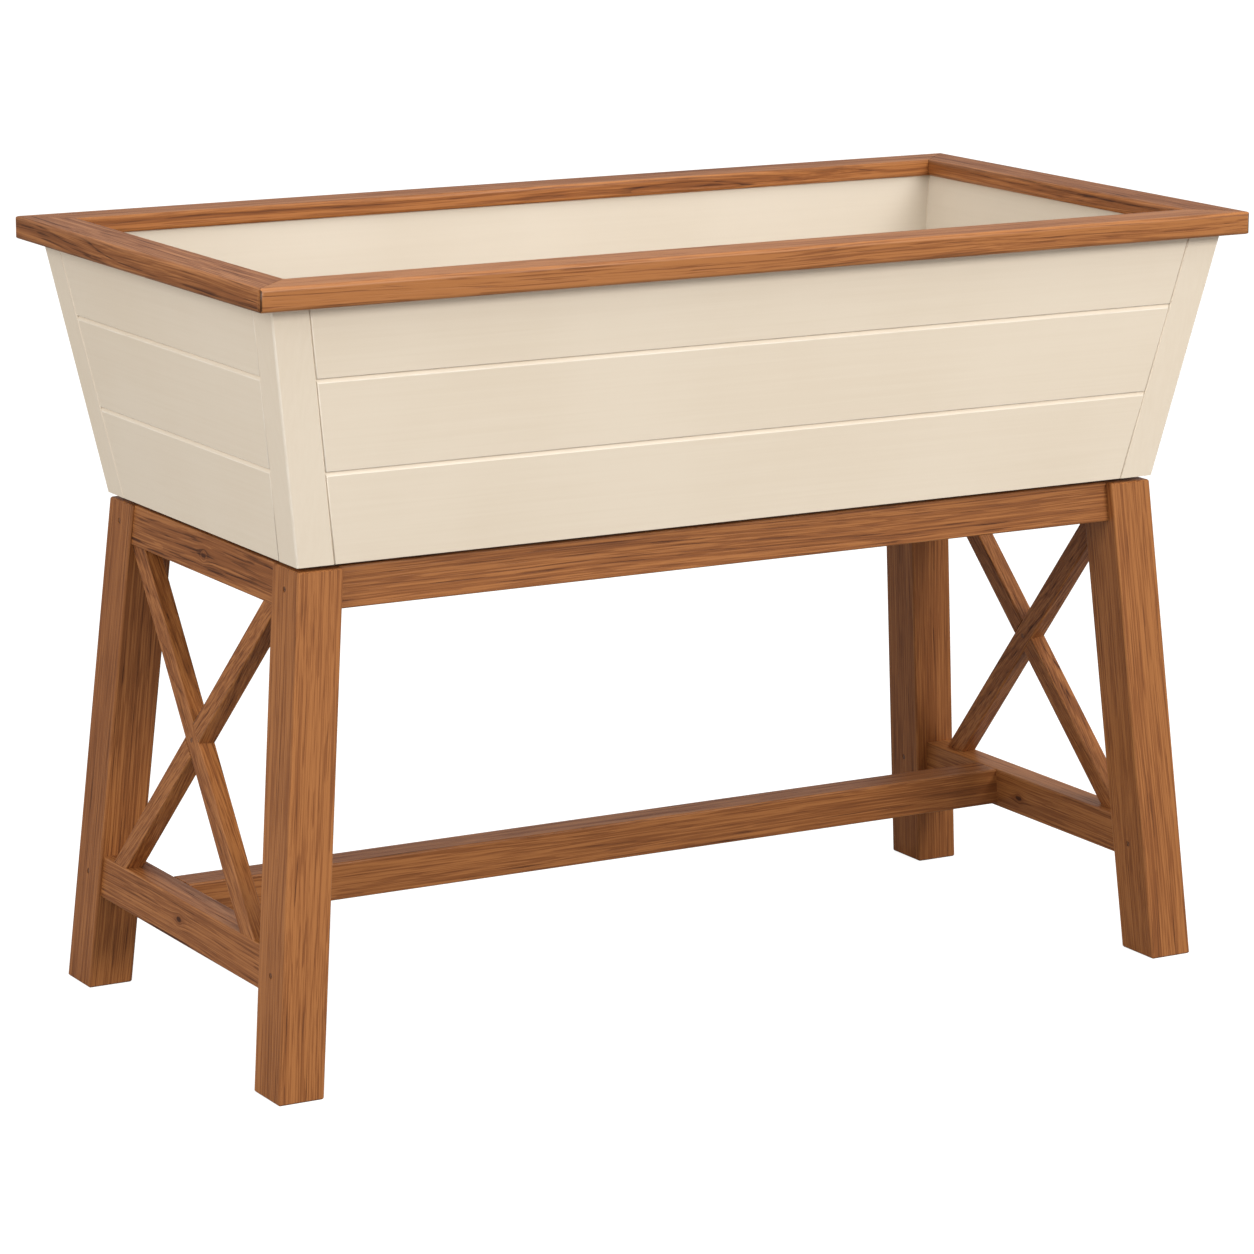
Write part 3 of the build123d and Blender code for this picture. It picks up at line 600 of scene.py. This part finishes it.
walls = (
    ("front", long_way, ("left", "right")),
    ("back", long_way, ("left", "right")),
    ("left", short_way, ("front", "back")),
    ("right", short_way, ("front", "back")),
)
slip = 0.0
for side, along, ends in walls:
    node = "lining_" + side
    # the lining takes the darker cream, painted shade for the inside of the trough
    paint = cream_paint(node, along, slip, INSIDE_PAINTED_SHADE, INSIDE_DEEP_PAINTED_SHADE)
    worked(node, "_painted", LINING_EASING, paint)
    for row in ("lower", "middle", "upper"):
        slip += NEXT_BOARD
        node = f"board_{side}_{row}"
        worked(node, "_painted", BOARD_EASING, cream_paint(node, along, slip))
    for end in ends:
        slip += NEXT_BOARD
        node = f"stile_{side}_{end}"
        worked(node, "_painted", STILE_EASING, cream_paint(node, upright, slip))

# ------------------------------------------------------------------ rim
# Four teak boards frame the top.  They are mitred with loose tongues, rebated underneath to
# drop over the walls, rounded on every long arris and oiled like the stand.

RIM_EASING = 0.0007
RIM_FIGURE = {"Wander": 0.034, "Ring Strength": 0.6, "Streak Strength": 1.3}  # livelier than the stand
SEAM_REACH = 0.0015  # faces nearer than this to a mitre line are its edges


def darken_mitres(piece, half_difference):
    """Marks the faces along the mitres; these lie where x and y differ by half_difference."""
    seam = piece.data.attributes.new("seam", "FLOAT", "FACE")
    for face in piece.data.polygons:
        off_line = abs(abs(face.center.x) - abs(face.center.y) - half_difference)
        seam.data[face.index].value = 1.0 if off_line < SEAM_REACH else 0.0


rim_low, rim_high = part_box("rim_front")
# Each board's last number is painted light or shade for how light falls on its side: the front board is
# lightened as painted light, the back, left and right boards darkened as painted shade.
rim_boards = (
    ("front", long_way, -0.18),
    ("back", long_way, 0.10),
    ("left", short_way, 0.05),
    ("right", short_way, 0.22),
)
for number, (side, along, painted_shade) in enumerate(rim_boards):
    node = "rim_" + side
    finish = oiled_teak(
        node, along, heart=(0.02, 0.035), twist=0.5 + 0.4 * number, slip=14.0 + 2 * number, painted_shade=painted_shade,
        **RIM_FIGURE,
    )
    board = worked(node, "_oiled", RIM_EASING, finish)
    darken_mitres(board, rim_high.x + rim_low.y)

# ------------------------------------------------------------------ studio
# The planter stands on a white sweep in a white room.  A soft key lamp faces it from the
# front right; weaker ones hang over it and stand off its left end.

FLOOR_HALF = 30.0
FLOOR_SQUARES = 24
FLOOR_PAPER = (0.31, 0.31, 0.31, 1.0)
FLOOR_FLECK = (0.29, 0.29, 0.29, 1.0)
FLOOR_GLOW = 0.90  # the sweep is lit from behind as well

sweep = bmesh.new()
bmesh.ops.create_grid(sweep, x_segments=FLOOR_SQUARES, y_segments=FLOOR_SQUARES, size=FLOOR_HALF)
floor_mesh = bpy.data.meshes.new("floor")
sweep.to_mesh(floor_mesh)
sweep.free()
floor = bpy.data.objects.new("floor", floor_mesh)
bpy.context.scene.collection.objects.link(floor)
paper, tree, shader = plain_material("white_sweep")
coordinates = step(tree, "TexCoord").outputs["Object"]
fleck = step(tree, "TexNoise", {"Vector": coordinates, "Scale": 60.0, "Detail": 3.0}).outputs["Fac"]
tree.links.new(blended(tree, fleck, FLOOR_PAPER, FLOOR_FLECK), shader.inputs["Base Color"])
shader.inputs["Roughness"].default_value = 0.9
shader.inputs["Specular IOR Level"].default_value = 0.0
shader.inputs["Emission Color"].default_value = (1.0, 1.0, 1.0, 1.0)
seen = step(tree, "LightPath").outputs["Is Camera Ray"]
tree.links.new(maths(tree, "MULTIPLY", seen, FLOOR_GLOW), shader.inputs["Emission Strength"])
floor_mesh.materials.append(paper)

ROOM_LIGHT = 0.75  # what the room throws on the planter, against the backdrop's own white
ROOM_SHEEN = 0.46  # what the finish mirrors of the room is darker still
room = bpy.data.worlds.new("white_room")
room.use_nodes = True
tree = room.node_tree
backdrop = tree.nodes["Background"]
rays = step(tree, "LightPath").outputs
strength = maths(tree, "MULTIPLY_ADD", rays["Is Diffuse Ray"], ROOM_LIGHT - 1.0, 1.0)
strength = maths(tree, "MULTIPLY_ADD", rays["Is Glossy Ray"], ROOM_SHEEN - 1.0, strength)
backdrop.inputs["Color"].default_value = (1.0, 1.0, 1.0, 1.0)
tree.links.new(strength, backdrop.inputs["Strength"])
bpy.context.scene.world = room


LAMPS_AIM = Vector((0.0, 0.0, 0.5))


def softbox(name, place, width, depth, watts):
    """A rectangular lamp that faces the middle of the planter."""
    lamp = bpy.data.lights.new(name, "AREA")
    lamp.shape = "RECTANGLE"
    lamp.size = width
    lamp.size_y = depth
    lamp.energy = watts
    stand = bpy.data.objects.new(name, lamp)
    stand.location = place
    stand.rotation_euler = (LAMPS_AIM - Vector(place)).to_track_quat("-Z", "Y").to_euler()
    bpy.context.scene.collection.objects.link(stand)


softbox("key_softbox", (1.6, -4.3, 2.6), width=1.6, depth=1.2, watts=122.0)
softbox("top_softbox", (0.2, -0.6, 3.4), width=3.0, depth=2.0, watts=40.0)
softbox("left_softbox", (-3.4, -1.0, 1.8), width=2.0, depth=2.0, watts=48.0)

CAMERA_PLACE = (-2.6033, -4.5385, 1.5433)
CAMERA_HEADING = radians(-29.744)
CAMERA_TILT = radians(90.0 - 12.444)
CAMERA_ROLL = radians(0.148)
LENS = 138.57
SENSOR_WIDTH = 36.0  # the lens and the sensor are in millimetres
FARTHEST_SEEN = 100.0
camera = bpy.data.cameras.new("camera")
camera.lens = LENS
camera.sensor_width = SENSOR_WIDTH
camera.clip_end = FARTHEST_SEEN
tripod = bpy.data.objects.new("camera", camera)
turn = Euler((CAMERA_TILT, 0.0, CAMERA_HEADING), "XYZ").to_matrix() @ Matrix.Rotation(CAMERA_ROLL, 3, "Z")
tripod.location = CAMERA_PLACE
tripod.rotation_euler = turn.to_euler()
bpy.context.scene.collection.objects.link(tripod)
bpy.context.scene.camera = tripod
bpy.context.scene.view_settings.view_transform = "Standard"
